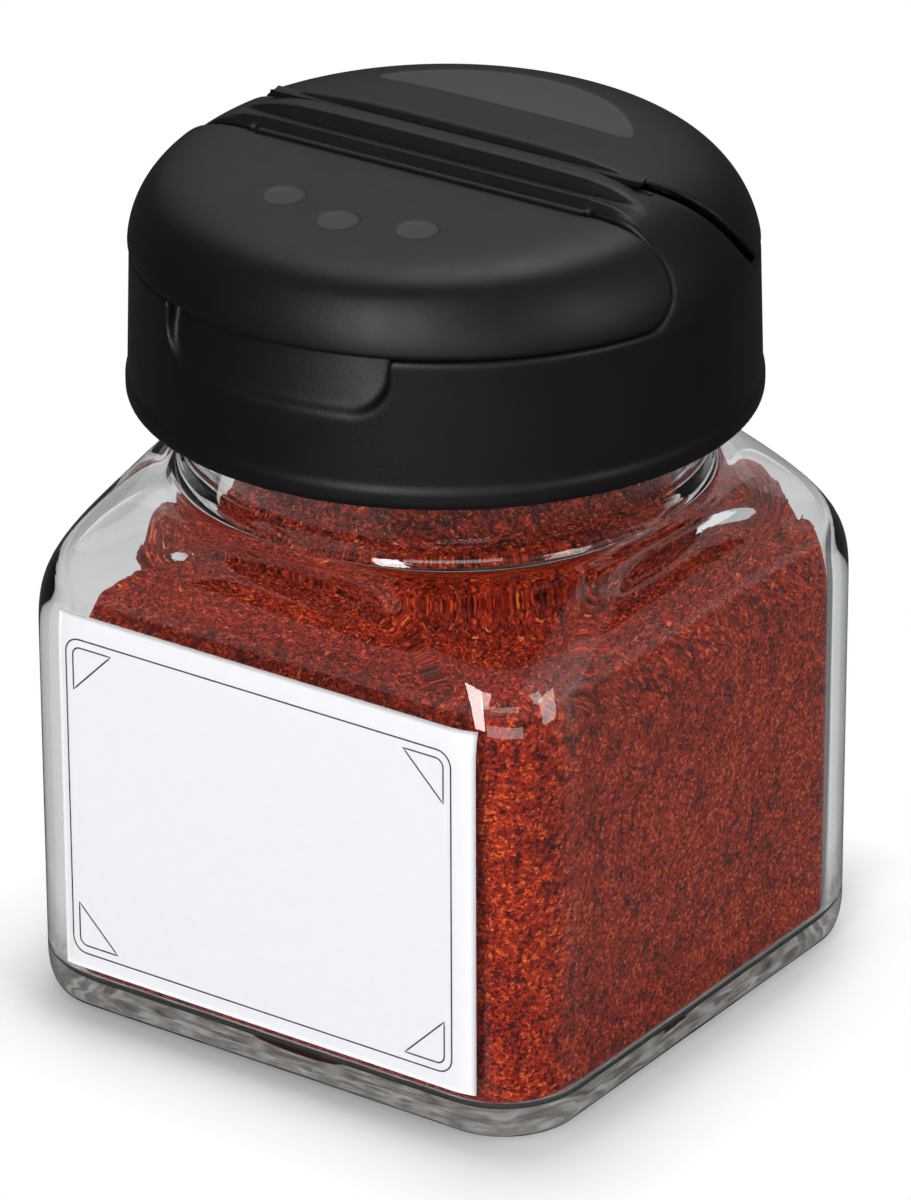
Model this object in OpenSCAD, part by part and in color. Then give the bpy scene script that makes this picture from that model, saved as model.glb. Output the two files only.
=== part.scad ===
// Spice jar: square glass jar with a round neck, and a screw cap with two hinged lids.
// Origin at the centre of the base, +Z up, label towards -Y, lid hinges along X.

/* [Glass jar] */
// Width and depth of the square body
body_w = 50; // [48:0.5:56]
// Radius of the body's upright corners
corner_r = 7.1; // [5:0.1:10]
// Height at which the shoulder starts to round over
shoulder_z = 30.3; // [28:0.1:40]
// Rise of the shoulder up to the neck
shoulder_h = 13; // [11:0.1:16]
// Rise of the neck from the shoulder to the rim
neck_h = 16.7; // [16:0.1:20]
// Wall of the neck
neck_wall = 2.8; // [2.2:0.1:3.2]
// Wall of the body
glass_wall = 2; // [1.5:0.1:3]
// Thickness of the base
base_t = 1.9; // [1.6:0.1:5]
// Rounding where the inner floor meets the walls
floor_round = 1.4; // [0.8:0.1:2.5]
// How much higher the shoulder starts on the inside than on the outside
inner_rise = 3; // [0:0.1:4]
// Fillet between the shoulder and the neck
neck_fillet = 1.2; // [0.6:0.1:1.6]
// Rounding of the rim
rim_round = 0.7; // [0.3:0.1:1]
// Height of the rounded foot
foot_h = 3; // [2:0.1:4]
// Inset of the foot where it meets the table
foot_inset = 1.2; // [0.6:0.1:2]
// Depth of the hollow under the base
punt_h = 0.5; // [0.3:0.1:0.9]
// Width of the bearing surface round the hollow
punt_margin = 8; // [6:0.5:10]

/* [Contents] */
// Height of the spice in the middle, above the inner floor
fill_h = 38.3; // [20:0.1:39]
// Fall of the spice from the middle to a wall
heap_fall = 6.2; // [2:0.2:9]
// Further fall towards the right wall
heap_lean_x = 2.7; // [0:0.1:5]
// Rise towards the rear wall
heap_lean_y = 5.7; // [0:0.1:6]
// Rise of the pile in the front right corner
pile_h = 14.5; // [0:0.5:16]
// Spread of that pile
pile_spread = 8; // [5:0.5:10]
// Height of the lumps on the surface
lump_h = 0.5; // [0:0.05:0.8]
// Length of the lumps
lump_l = 5.8; // [5:0.1:9]

/* [Label] */
// Width of the label
label_w = 39.4; // [30:0.2:40]
// Height of the label
label_h = 30.9; // [20:0.1:31]
// Lower edge of the label above the base
label_z = 4.05; // [3.5:0.05:8]
// Sideways place of the label's middle
label_x = 0.3; // [-1:0.1:1]
// Thickness of the label
label_t = 0.12; // [0.08:0.01:0.3]

/* [Cap] */
// How far the cap's band lies inside the sides of the body
cap_inset = 0.05; // [0:0.05:1]
// Wall of the skirt and of the lids
cap_wall = 1.2; // [0.9:0.05:1.3]
// Height of the skirt from its rim to the top of the sifter deck
skirt_h = 11.9; // [11:0.1:13]
// Height of the band round the bottom of the skirt
band_h = 1.9; // [1:0.1:3]
// How far the band stands out
band_out = 0.2; // [0.1:0.05:0.4]
// How far the skirt leans in at its top
skirt_taper = 0.3; // [0:0.05:0.6]
// Thickness of the sifter deck
deck_t = 1.2; // [1:0.05:1.6]
// Thickness of the seal liner
liner_t = 0.8; // [0.5:0.1:1.2]
// Height of the inner collar below the deck
collar_h = 9.3; // [7:0.1:10]
// Wall of the inner collar
collar_wall = 1; // [0.8:0.05:1.1]
// Space between the collar and the neck
collar_gap = 0.35; // [0.25:0.05:0.5]
// Space between the collar and the skirt
skirt_space = 1.2; // [0.9:0.05:1.6]

/* [Lids] */
// Rise of the dome above the deck
dome_h = 8.85; // [8:0.05:10]
// Rise of the front lid's flat above the deck, at its hinge
front_flat_h = 7.1; // [6.5:0.05:7.5]
// Fall of the front lid's flat towards the front
front_flat_fall = 1.55; // [0:0.05:2]
// Rise of the rear hinge above the deck
rear_hinge_h = 8.4; // [7.9:0.05:8.5]
// Place of the front hinge, forward of the middle
front_hinge_y = 3.4; // [2.5:0.1:4.5]
// Place of the rear hinge, behind the middle
rear_hinge_y = 1.5; // [1:0.1:2.5]
// How far the front hinge film's ends lie inside the skirt
front_hinge_inset = 9.45; // [9:0.05:12]
// How far the rear hinge film's ends lie inside the skirt
rear_hinge_inset = 7.45; // [7:0.05:10]
// Gap between a lid and the fixed parts of the cap
lid_gap = 0.2; // [0.1:0.05:0.4]
// Radius of the front lid's lower corners
lid_corner_r = 4; // [2:0.1:5]
// How far the rear lid's lower corners lie behind its hinge
rear_sweep = 9.2; // [7:0.1:11]
// Extra gap beside the rear lid, half way down its edge
rear_slot = 0.5; // [0:0.05:0.8]
// Radius of the finger pad on the rear lid
pad_r = 14; // [11:0.5:16]
// Distance of the pad's straight edge from the middle
pad_y = 7.5; // [6:0.5:9]
// Radius of the round marks over the shaker holes
mark_r = 1.6; // [1:0.1:2]
// Depth of the pad and of the marks
mark_d = 0.12; // [0.05:0.01:0.3]

/* [Sifter] */
// Radius of the shaker holes
shake_r = 2.1; // [1.8:0.05:2.4]
// Distance between the shaker holes' centres along X
shake_pitch = 6.2; // [5.5:0.1:7]
// Distance of the middle shaker hole's edge from the liner
shake_margin = 1.3; // [0.8:0.1:3]
// How much further forward the middle hole lies
shake_step = 1.6; // [0:0.1:2]
// Distance of the pour opening's edge from the liner
pour_margin = 1.9; // [1.2:0.1:3]
// Distance of the pour opening's straight edge from the middle
pour_y = 5.5; // [4.5:0.1:7]
// Space round a plug in its hole
plug_gap = 0.65; // [0.5:0.05:0.8]
// How far the plugs reach into their holes
plug_dip = 0.4; // [0.2:0.05:0.5]
// Wall of the pour plug
plug_wall = 1; // [0.8:0.05:1.3]

/* [Thumb notch] */
// Width of the notch under the front lid
notch_w = 20.3; // [14:0.1:22]
// Height of the notch
notch_h = 4.5; // [3:0.1:5.5]
// Depth of the notch at its top
notch_d = 1.55; // [0.8:0.05:1.6]
// Depth of the notch at its bottom
notch_foot = 0.35; // [0.2:0.05:0.8]
// Radius of the notch's lower corners
notch_r = 2.8; // [1:0.1:3]

/* [Hidden] */
$fn = 96;
eps = 0.01;

corner_steps = 10;
shoulder_steps = 13;
foot_steps = 4;
dome_steps = 16;
arc_steps = 10;
width_power = 5;
corner_power = 1.33;
rise_power = 0.56;

body_half = body_w / 2;
cap_r = body_half - cap_inset - band_out;
neck_r = cap_r - cap_wall - skirt_space - collar_wall - collar_gap;
bore_r = neck_r - neck_wall;
punt_r = body_half - punt_margin;
neck_z = shoulder_z + shoulder_h;
rim_z = neck_z + neck_h;
deck_low = rim_z + liner_t;
deck_top = deck_low + deck_t;
cap_rim_z = deck_top - skirt_h;
lid_low = deck_top + lid_gap;
seat_gap = 0.05;

// Share of the wall by which the inside's corners are tighter than the outside's
corner_share = 0.8;
// Share of the wall by which the shoulder ends lower on the inside
shoulder_share = 0.6;
cavity_wall_r = corner_r - glass_wall * corner_share;
cavity_half = body_half - glass_wall;
heap_steps = 30;

collar_r = neck_r + collar_gap;
// Gap round the liner in the collar, and how far the liner reaches in past the neck
liner_gap = 0.15;
liner_lap = 0.8;
liner_r = collar_r - liner_gap;
liner_in = bore_r - liner_lap;
skirt_top_r = cap_r - skirt_taper;
lip_out = 0.15;
lip_r = skirt_top_r + lip_out;
front_hinge_half = cap_r - front_hinge_inset;
rear_hinge_half = cap_r - rear_hinge_inset;
shake_y = liner_in - shake_margin - shake_r - shake_step;
pour_r = liner_in - pour_margin;

dome_r_power = 4.94;
dome_z_power = 1.86;
dome_spring = 0.9;
roll_w = 8.1;
roll_r = lip_r - roll_w;
// How far the roll's centre line lies above the front lid's flat
roll_rise = 0.4;
// Heights of the bridge's channel and ridge over the front hinge, and of its band over the rear hinge
channel_rise = 0.15;
ridge_rise = 0.65;
band_rise = 0.1;
// Widths along the bridge's top, from the front hinge backwards
ridge_back = 0.5;
ridge_slope = 0.2;
ridge_w = 0.4;
channel_w = 1.1;
band_slope = 0.3;
band_edge = 0.4;
hinge_edge = 0.6;
film_t = 0.3;
film_gap = 0.15;
// Bevel along the rear lid's hinged edge
bevel_w = 1;
bevel_h = 0.5;
// Small holes that end the hinge films
hinge_hole_r = 0.4;
// Distance of the bridge's cored slot from the liner
core_margin = 1.2;
core_r = liner_in - core_margin;
// Thickening behind the thumb notch, and its gap to the collar
notch_back = 1.6;
notch_room = 0.5;
band_chamfer = 0.3;
// Shift of the finger pad's centre behind the middle
pad_back = 1;
// How far parts of one moulding run into each other, and how far a cut runs past a face
weld = 0.3;
over = 1;

// Rounded square of one height, with its corners' arcs drawn just outside the true arc
function ring(half, r, z) = [for (q = [0:3]) for (i = [0:corner_steps - 1])
    let (a = q * 90 + (i + 0.5) * 90 / corner_steps,
        sx = (q == 0 || q == 3) ? 1 : -1,
        sy = (q < 2) ? 1 : -1,
        rr = r / cos(45 / corner_steps))
    [sx * (half - r) + rr * cos(a), sy * (half - r) + rr * sin(a), z]];

// Closed solid through a stack of rings
module loft(rings) {
    n = len(rings[0]);
    m = len(rings);
    sides = [for (j = [0:m - 2]) for (i = [0:n - 1]) for (k = [0:1])
        let (a = j * n + i, b = j * n + (i + 1) % n)
        k == 0 ? [a, a + n, b] : [b, a + n, b + n]];
    bottom = [for (i = [0:n - 1]) i];
    top = [for (i = [n - 1:-1:0]) (m - 1) * n + i];
    polyhedron(points = [for (r = rings) each r], faces = concat([bottom, top], sides), convexity = 6);
}

// Rings of a rounded foot that grows from an inset at its lower edge
function foot_rings(half, r, z, h, inset) = [for (i = [0:foot_steps - 1])
    let (a = i * 90 / foot_steps, d = inset * (1 - sin(a)))
    ring(half - d, r - d, z + h * (1 - cos(a)))];

// One ring of the shoulder, from the square body at a = 0 to the round neck at a = 90
function shoulder_ring(half, r, end_r, z, h, a) =
    let (w = end_r + (half - end_r) * pow(cos(a), width_power))
    ring(w, r + (w - r) * (1 - pow(cos(a), corner_power)), z + h * pow(sin(a), rise_power));

outer_end = neck_r + neck_fillet;
cavity_h = shoulder_h - inner_rise - glass_wall * shoulder_share;

outer_rings = concat(
    foot_rings(body_half, corner_r, 0, foot_h, foot_inset),
    [ring(body_half, corner_r, foot_h)],
    [for (i = [0:shoulder_steps])
        shoulder_ring(body_half, corner_r, outer_end, shoulder_z, shoulder_h, i * 90 / shoulder_steps)]);

// Rings of the space inside the body, drawn in from the glass by a gap
function cavity_rings(gap) = concat(
    foot_rings(cavity_half - gap, cavity_wall_r - gap, base_t, floor_round, floor_round),
    [ring(cavity_half - gap, cavity_wall_r - gap, base_t + floor_round)],
    [for (i = [0:shoulder_steps])
        shoulder_ring(cavity_half - gap, cavity_wall_r - gap, bore_r - gap, shoulder_z + inner_rise, cavity_h,
            i * 90 / shoulder_steps)]);

module neck_ring() {
    rotate_extrude() polygon(concat(
        [[bore_r - over, neck_z - over - weld], [outer_end - weld, neck_z - over - weld]],
        [for (i = [0:arc_steps]) let (a = 270 - i * 90 / arc_steps)
            [outer_end + neck_fillet * cos(a), neck_z + neck_fillet * (1 + sin(a))]],
        [for (i = [0:arc_steps]) let (a = i * 90 / arc_steps)
            [neck_r - rim_round * (1 - cos(a)), rim_z - rim_round * (1 - sin(a))]],
        [[bore_r - over, rim_z]]));
}

module glass_jar() {
    color([0.82, 0.9, 0.88, 0.4]) difference() {
        union() {
            loft(outer_rings);
            neck_ring();
        }
        loft(cavity_rings(0));
        translate([0, 0, neck_z - glass_wall]) cylinder(r = bore_r, h = neck_h + glass_wall + over);
        translate([0, 0, -over]) cylinder(r = punt_r, h = punt_h + over);
    }
}

// Uneven lumps, from two crossing waves that bend each other
function lumps(x, y) = let (k = 360 / lump_l)
    lump_h / 2 * (sin(k * x + 31 * sin(0.76 * k * y)) + sin(0.85 * k * y - 40 * sin(0.61 * k * x)));

// Height of the spice's surface: a lumpy heap that leans, with a pile in the front right corner
function heap_z(x, y) = base_t + fill_h + lumps(x, y) - heap_fall * (x * x + y * y) / pow(cavity_half, 2)
    - heap_lean_x * x / cavity_half + heap_lean_y * y / cavity_half
    + pile_h * exp(-(pow(x - cavity_half, 2) + pow(y + cavity_half, 2)) / (2 * pow(pile_spread, 2)));

// Block over the whole base under the heap's surface
module heap_block() {
    n = heap_steps;
    side = [for (i = [0:n]) (2 * i / n - 1) * (cavity_half + over)];
    top = [for (y = side) for (x = side) [x, y, heap_z(x, y)]];
    low = [for (y = side) for (x = side) [x, y, base_t - over]];
    m = n + 1;
    count = m * m;
    cells = [for (j = [0:n - 1]) for (i = [0:n - 1]) j * m + i];
    edge = concat([for (i = [0:n - 1]) i], [for (i = [0:n - 1]) n + i * m],
        [for (i = [n:-1:1]) n * m + i], [for (i = [n:-1:1]) i * m]);
    polyhedron(points = concat(top, low), faces = concat(
        [for (c = cells) each [[c, c + m, c + 1], [c + 1, c + m, c + m + 1]]],
        [for (c = cells) each [[count + c, count + c + 1, count + c + m],
            [count + c + 1, count + c + m + 1, count + c + m]]],
        [for (k = [0:4 * n - 1]) let (a = edge[k], b = edge[(k + 1) % (4 * n)])
            each [[a, b, count + a], [b, count + b, count + a]]]), convexity = 6);
}

// The spice fills the cavity up to the heap's surface
module spice_fill() {
    color([0.6, 0.17, 0.06]) intersection() {
        loft(cavity_rings(seat_gap));
        heap_block();
    }
}

module front_label() {
    color([0.95, 0.95, 0.97])
        translate([label_x - label_w / 2, -body_half - label_t, label_z])
            cube([label_w, label_t, label_h]);
}

module seal_liner() {
    color([0.9, 0.9, 0.86]) difference() {
        translate([0, 0, rim_z]) cylinder(r = liner_r, h = liner_t);
        translate([0, 0, rim_z - over]) cylinder(r = liner_in, h = liner_t + 2 * over);
    }
}

// Extrusion along X of an outline drawn in Y and Z
module along_x(half) {
    rotate([90, 0, 90]) linear_extrude(height = 2 * half, center = true) children();
}

// Radius of the dome at a share of its rise, inset by a wall
function dome_at(i, inset) = let (t = i * 90 / dome_steps)
    [(lip_r - inset) * pow(sin(t), 2 / dome_r_power),
        (dome_h + dome_spring - inset) * pow(cos(t), 2 / dome_z_power) - dome_spring];

// Solid dome of revolution over the deck, inset by a wall
module dome(inset) {
    translate([0, 0, deck_top]) rotate_extrude() polygon(concat(
        [[0, -over], [lip_r - inset, -over]],
        [for (i = [dome_steps - 1:-1:0]) dome_at(i, inset)]));
}

// Solid of the front lid: rounder at its rim than the dome, and flat on top
module front_form(inset) {
    rise = front_flat_h - inset + roll_rise;
    intersection() {
        translate([0, 0, deck_top]) rotate_extrude() polygon(concat(
            [[0, -over], [lip_r - inset, -over]],
            [for (i = [0:arc_steps]) let (a = i * 90 / arc_steps)
                [roll_r + (lip_r - inset - roll_r) * cos(a), rise * sin(a)]],
            [[0, rise]]));
        along_x(cap_r + over) polygon([
            [-cap_r - over, deck_top - over],
            [0, deck_top - over],
            [0, deck_top + front_flat_h - inset],
            [-front_hinge_y, deck_top + front_flat_h - inset],
            [-cap_r - over, deck_top + front_flat_h - front_flat_fall - inset]]);
    }
}

// Side outline of the front lid (side = 1) or of the bridge beside it (side = -1), upwards
function front_edge(side) = let (y = -front_hinge_y - side * film_gap, low = side > 0 ? lid_low : deck_top)
    [for (i = [0:arc_steps]) let (a = -90 + i * 90 / arc_steps)
        [y - lid_corner_r + lid_corner_r * cos(a),
            low + (lid_corner_r + lid_low - low) * (1 + sin(a))]];

// Side outline of the rear lid (side = 1) or of the bridge beside it (side = -1), downwards
function rear_edge(side) = let (drop = rear_hinge_h - hinge_edge - lid_gap)
    [for (i = [0:arc_steps]) let (u = i / arc_steps,
        slot = side > 0 ? 0 : lid_gap + rear_slot * sin(180 * u))
        [rear_hinge_y + side * film_gap + rear_sweep * u,
            lid_low + drop * (0.5 + 0.5 * cos(180 * u)) - slot]];

// Height of the front lid's flat over the deck, at a distance y in front of the middle
function flat_at(y) = front_flat_h - front_flat_fall * (y - front_hinge_y) / (cap_r + over - front_hinge_y);

module deck_holes() {
    for (i = [-1:1])
        translate([i * shake_pitch, -shake_y - (i == 0 ? shake_step : 0), deck_low - over])
            cylinder(r = shake_r, h = deck_t + 2 * over);
    translate([0, 0, deck_low - over]) linear_extrude(height = deck_t + 2 * over) half_moon(0);
}

// Outline of the pour opening, made smaller by d all round
module half_moon(d) {
    intersection() {
        circle(r = pour_r - d);
        translate([-pour_r, pour_y + d]) square([2 * pour_r, pour_r]);
    }
}

// Fixed bridge between the two lids, with its grooved top
module bridge() {
    front = front_edge(-1);
    rear = rear_edge(-1);
    difference() {
        intersection() {
            dome(lip_out);
            bridge_outline(front, rear);
        }
        lid_rooms();
    }
}

// Side view of the bridge, along the whole cap
module bridge_outline(front, rear) {
    flat_z = deck_top + front_flat_h;
    ridge_y = -front_hinge_y + ridge_back;
    channel_y = ridge_y + 2 * ridge_slope + ridge_w;
    along_x(cap_r) polygon(concat(
        [[front[0][0], deck_low]],
        front,
        [[-front_hinge_y + film_gap, flat_z],
            [ridge_y, flat_z],
            [ridge_y + ridge_slope, flat_z + ridge_rise],
            [ridge_y + ridge_slope + ridge_w, flat_z + ridge_rise],
            [channel_y, flat_z + channel_rise],
            [channel_y + channel_w, flat_z + channel_rise],
            [channel_y + channel_w + band_slope, deck_top + rear_hinge_h + band_rise],
            [rear_hinge_y - band_edge, deck_top + rear_hinge_h + band_rise],
            [rear_hinge_y - film_gap, deck_top + rear_hinge_h]],
        rear,
        [[rear[arc_steps][0], deck_low]]));
}

// Room that the lids close over, inside the bridge's cheeks and on both sides of its walls
module lid_rooms() {
    intersection() {
        dome(lip_out + cap_wall + lid_gap);
        union() {
            translate([-cap_r, -cap_r, deck_top]) cube([2 * cap_r, cap_r - front_hinge_y + film_gap, dome_h]);
            translate([-cap_r, rear_hinge_y - film_gap, deck_top]) cube([2 * cap_r, cap_r, dome_h]);
        }
    }
}

module skirt() {
    rotate_extrude() polygon([
        [cap_r + band_out - cap_wall, cap_rim_z],
        [cap_r + band_out - band_chamfer, cap_rim_z],
        [cap_r + band_out, cap_rim_z + band_chamfer],
        [cap_r + band_out, cap_rim_z + band_h - band_out],
        [cap_r, cap_rim_z + band_h],
        [skirt_top_r, deck_top],
        [skirt_top_r - cap_wall, deck_top],
        [cap_r - cap_wall, cap_rim_z + band_h]]);
}

module collar() {
    translate([0, 0, deck_low - collar_h]) difference() {
        cylinder(r = collar_r + collar_wall, h = collar_h + eps);
        translate([0, 0, -over]) cylinder(r = collar_r, h = collar_h + 2 * over);
    }
}

// Solid behind the thumb notch, so that the skirt keeps its wall there
module notch_backing() {
    intersection() {
        translate([0, 0, deck_top - notch_h - notch_back]) difference() {
            cylinder(r = skirt_top_r - weld, h = notch_h + notch_back);
            translate([0, 0, -over]) cylinder(r = collar_r + notch_room, h = notch_h + notch_back + 2 * over);
        }
        translate([-notch_w / 2 - notch_back, -cap_r - over, deck_top - notch_h - notch_back - over])
            cube([notch_w + 2 * notch_back, cap_r + over, notch_h + notch_back + 2 * over]);
    }
}

module notch_cut() {
    difference() {
        translate([0, 0, deck_top]) rotate([90, 0, 0]) linear_extrude(height = cap_r + over) union() {
            translate([-notch_w / 2 + notch_r, -notch_h]) square([notch_w - 2 * notch_r, notch_h + over]);
            translate([-notch_w / 2, -notch_h + notch_r]) square([notch_w, notch_h - notch_r + over]);
            for (s = [-1, 1])
                translate([s * (notch_w / 2 - notch_r), -notch_h + notch_r]) circle(r = notch_r);
        }
        translate([0, 0, deck_top - notch_h])
            cylinder(r1 = skirt_top_r - notch_foot, r2 = skirt_top_r - notch_d, h = notch_h + eps);
    }
}

module cap_body() {
    color([0.12, 0.12, 0.125]) difference() {
        union() {
            skirt();
            collar();
            notch_backing();
            translate([0, 0, deck_low]) cylinder(r = skirt_top_r - weld, h = deck_t);
            bridge();
        }
        deck_holes();
        notch_cut();
        bridge_core();
        hinge_ends();
    }
}

// Cored slot in the bridge, open below like the moulding's own
module bridge_core() {
    intersection() {
        translate([0, 0, deck_low - over])
            cylinder(r = core_r, h = over + deck_t + front_flat_h - cap_wall);
        along_x(cap_r) translate([-front_hinge_y + cap_wall, deck_low - 2 * over])
            square([front_hinge_y + rear_hinge_y - 2 * cap_wall, dome_h + deck_t + 2 * over]);
    }
}

// Small holes at both ends of each hinge film, which stop it from tearing
module hinge_ends() {
    for (s = [-1, 1]) {
        translate([s * (front_hinge_half + hinge_hole_r), -front_hinge_y, deck_top + front_flat_h - cap_wall])
            cylinder(r = hinge_hole_r, h = dome_h - front_flat_h + 2 * cap_wall);
        translate([s * (rear_hinge_half + hinge_hole_r), rear_hinge_y, deck_top + rear_hinge_h - 2 * cap_wall])
            cylinder(r = hinge_hole_r, h = dome_h - rear_hinge_h + 3 * cap_wall);
    }
}

module hinge_film(half, y, z) {
    translate([-half, y - film_gap, z - film_t]) cube([2 * half, 2 * film_gap, film_t]);
}

module front_hinge_film() {
    color([0.15, 0.15, 0.155]) hinge_film(front_hinge_half, -front_hinge_y, deck_top + front_flat_h);
}

module rear_hinge_film() {
    color([0.15, 0.15, 0.155]) hinge_film(rear_hinge_half, rear_hinge_y, deck_top + rear_hinge_h);
}

module front_region() {
    top = deck_top + dome_h + over;
    along_x(cap_r + over) polygon(concat(
        [[-cap_r - over, lid_low]],
        front_edge(1),
        [[-front_hinge_y - film_gap, top], [-cap_r - over, top]]));
}

module front_lid() {
    peg_r = shake_r - plug_gap;
    color([0.13, 0.13, 0.135]) difference() {
        union() {
            intersection() {
                difference() {
                    front_form(0);
                    front_form(cap_wall);
                }
                front_region();
            }
            for (i = [-1:1])
                let (y = shake_y + (i == 0 ? shake_step : 0))
                    translate([i * shake_pitch, -y, deck_top - plug_dip])
                        cylinder(r = peg_r, h = flat_at(y) + plug_dip - cap_wall / 2);
        }
        hinge_ends();
        difference() {
            shaker_marks();
            front_form(mark_d);
        }
    }
}

// Round marks on the front lid, each over its shaker hole
module shaker_marks() {
    for (i = [-1:1])
        translate([i * shake_pitch, -shake_y - (i == 0 ? shake_step : 0), deck_top])
            cylinder(r = mark_r, h = dome_h);
}

// Finger pad on the rear lid, straight towards the hinge
module pad_outline() {
    intersection() {
        translate([0, pad_back]) circle(r = pad_r);
        translate([-pad_r, pad_y]) square([2 * pad_r, pad_r]);
    }
}

module rear_region() {
    top = deck_top + dome_h + over;
    along_x(cap_r + over) polygon(concat(
        [[rear_hinge_y + film_gap, deck_top + rear_hinge_h]],
        rear_edge(1),
        [[cap_r + over, lid_low], [cap_r + over, top], [rear_hinge_y + bevel_w + over, top]],
        [[rear_hinge_y + bevel_w, deck_top + rear_hinge_h + bevel_h]]));
}

module pour_plug() {
    intersection() {
        dome(cap_wall / 2);
        translate([0, 0, deck_top - plug_dip]) linear_extrude(height = dome_h) difference() {
            half_moon(plug_gap);
            half_moon(plug_gap + plug_wall);
        }
    }
}

module rear_lid() {
    color([0.13, 0.13, 0.135]) difference() {
        union() {
            intersection() {
                difference() {
                    dome(0);
                    dome(cap_wall);
                }
                rear_region();
            }
            pour_plug();
        }
        hinge_ends();
        difference() {
            translate([0, 0, deck_top]) linear_extrude(height = dome_h + over) pad_outline();
            dome(mark_d);
        }
    }
}

glass_jar();
spice_fill();
front_label();
seal_liner();
cap_body();
front_hinge_film();
rear_hinge_film();
front_lid();
rear_lid();
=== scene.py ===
"""Looks of a square glass spice jar: clear glass, ground spice, blank label and black two-lid cap."""

import math

import bpy
import numpy as np
import openvdb
from mathutils import Matrix, Vector


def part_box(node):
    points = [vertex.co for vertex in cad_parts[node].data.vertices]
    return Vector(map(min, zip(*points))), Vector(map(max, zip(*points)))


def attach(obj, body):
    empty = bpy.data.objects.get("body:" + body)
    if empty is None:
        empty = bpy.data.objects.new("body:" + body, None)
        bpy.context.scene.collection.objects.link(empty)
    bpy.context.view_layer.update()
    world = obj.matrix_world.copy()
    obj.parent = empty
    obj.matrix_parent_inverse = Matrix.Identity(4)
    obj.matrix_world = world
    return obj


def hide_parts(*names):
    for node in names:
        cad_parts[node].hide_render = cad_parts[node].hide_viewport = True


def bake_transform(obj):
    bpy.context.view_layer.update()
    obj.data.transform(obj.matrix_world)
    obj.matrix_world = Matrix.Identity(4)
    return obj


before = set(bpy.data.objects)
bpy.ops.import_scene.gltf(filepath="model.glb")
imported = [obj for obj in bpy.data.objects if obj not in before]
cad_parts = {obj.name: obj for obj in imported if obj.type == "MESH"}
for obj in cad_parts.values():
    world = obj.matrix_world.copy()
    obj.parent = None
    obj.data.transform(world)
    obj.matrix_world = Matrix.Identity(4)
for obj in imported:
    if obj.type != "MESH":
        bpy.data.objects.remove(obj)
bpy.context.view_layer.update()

MM = 0.001

# Driving sizes in millimetres, the same as the solids'
BODY_HALF = 25.0
CORNER_R = 7.1
GLASS_WALL = 2.0
CAVITY_HALF = BODY_HALF - GLASS_WALL
CAVITY_CORNER_R = CORNER_R - GLASS_WALL * 0.8
BASE_T = 1.9
FLOOR_ROUND = 1.4
INNER_RISE = 3.0
SHOULDER_Z = 30.3
SHOULDER_H = 13.0
CAVITY_SHOULDER_Z = SHOULDER_Z + INNER_RISE
CAVITY_SHOULDER_H = SHOULDER_H - INNER_RISE - GLASS_WALL * 0.6
NECK_R = 21.0
BORE_R = 18.2
NECK_Z = SHOULDER_Z + SHOULDER_H
NECK_FILLET = 1.2
OUTER_END = NECK_R + NECK_FILLET
RIM_ROUND = 0.7
FOOT_H = 3.0
FOOT_INSET = 1.2
PUNT_R = 17.0
PUNT_H = 0.5
RIM_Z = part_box("glass_jar")[1][2] / MM
DECK_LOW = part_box("seal_liner")[1][2] / MM
DECK_T = 1.2
DECK_TOP = DECK_LOW + DECK_T
CAP_RIM_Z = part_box("cap_body")[0][2] / MM
LID_LOW = DECK_TOP + 0.2
CAP_R = 24.75
SKIRT_TOP_R = 24.45
LIP_R = 24.6
CAP_WALL = 1.2
BAND_OUT = 0.2
BAND_H = 1.9
COLLAR_R = 21.35
COLLAR_WALL = 1.0
COLLAR_H = 9.3
DOME_H = 8.85
FRONT_FLAT_H = 7.1
FRONT_FLAT_FALL = 1.55
REAR_HINGE_H = 8.4
FRONT_HINGE_Y = -3.4
REAR_HINGE_Y = 1.5
FRONT_HINGE_HALF = 15.3
REAR_HINGE_HALF = 17.3
FILM_GAP = 0.15
FILM_T = 0.3
LID_CORNER_R = 4.0
REAR_SWEEP = 9.2
REAR_SLOT = 0.5
SHAKE_R = 2.1
SHAKE_PLACES = ((-6.2, -12.4), (0.0, -14.0), (6.2, -12.4))
POUR_R = 15.5
POUR_Y = 5.5
PLUG_GAP = 0.65
PLUG_DIP = 0.4
PLUG_WALL = 1.0
NOTCH_W = 20.3
NOTCH_H = 4.5
NOTCH_R = 2.8
NOTCH_TOP_D = 1.55
NOTCH_FOOT_D = 0.35
PAD_R = 14.0
PAD_Y = 7.5
MARK_R = 1.6
MARK_D = 0.12
LEAD = 4.23
THREAD_TURNS = 1.4
THREAD_START = -45.0
NECK_THREAD_Z = 51.2
BEAD_TOP_Z = 50.6
NECK_ROOT_R = 20.0
NECK_CREST_R = 20.95
CAP_THREAD_R = 20.35
LABEL_LO, LABEL_HI = (np.array(p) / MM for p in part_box("front_label"))

WIDTH_POWER = 5.0
CORNER_POWER = 1.33
RISE_POWER = 0.56

# Photograph's frame and camera
FRAME_W = 911
FRAME_H = 1200
CAMERA_AZIMUTH = 35.13
CAMERA_ELEVATION = 24.77
CAMERA_ROLL = -0.246
CAMERA_DISTANCE = 584.4
CAMERA_TARGET_Z = 34.5
FOCAL_PX = 7405.0
PRINCIPAL_PX = (446.2, 562.4)
SENSOR = 36.0


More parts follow.
